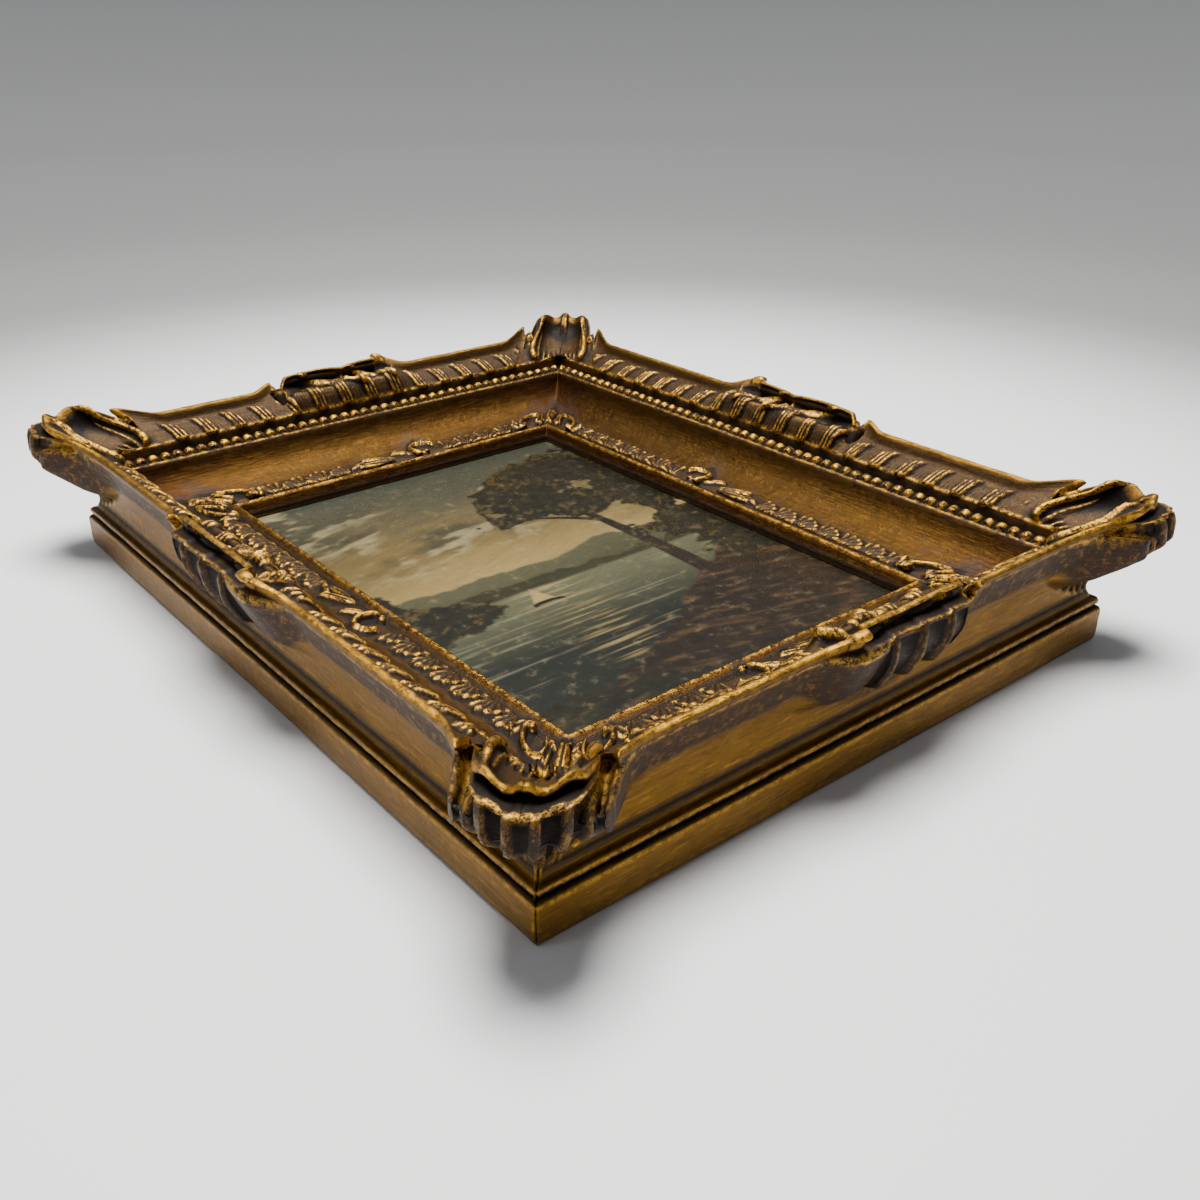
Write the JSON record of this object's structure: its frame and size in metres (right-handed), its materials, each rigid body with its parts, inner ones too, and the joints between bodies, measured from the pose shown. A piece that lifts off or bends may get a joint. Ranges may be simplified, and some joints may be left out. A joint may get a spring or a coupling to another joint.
{
  "type": "framed oil painting",
  "caption": "Small landscape painting on a panel in a deep swept frame of carved, gilded wood with shell corners, made to hang on a wall.",
  "frame": {"origin": "middle of the flat back of the top rail, where the frame hangs on a wall", "axes": "+Z out of the picture, away from the wall; +Y towards the picture's top; +X towards its right side"},
  "size_m": [0.2196, 0.2676, 0.045],
  "materials": {
    "gilded_wood": "aged gold leaf over dark red-brown bole, burnished on the high edges, dark wash in the hollows",
    "painted_panel": "glossy varnished oil paint"
  },
  "bodies": {
    "root": {"bottom_rail": "gilded_wood", "right_rail": "gilded_wood", "top_rail": "gilded_wood", "left_rail": "gilded_wood", "picture_panel": "painted_panel"}
  },
  "joints": []
}
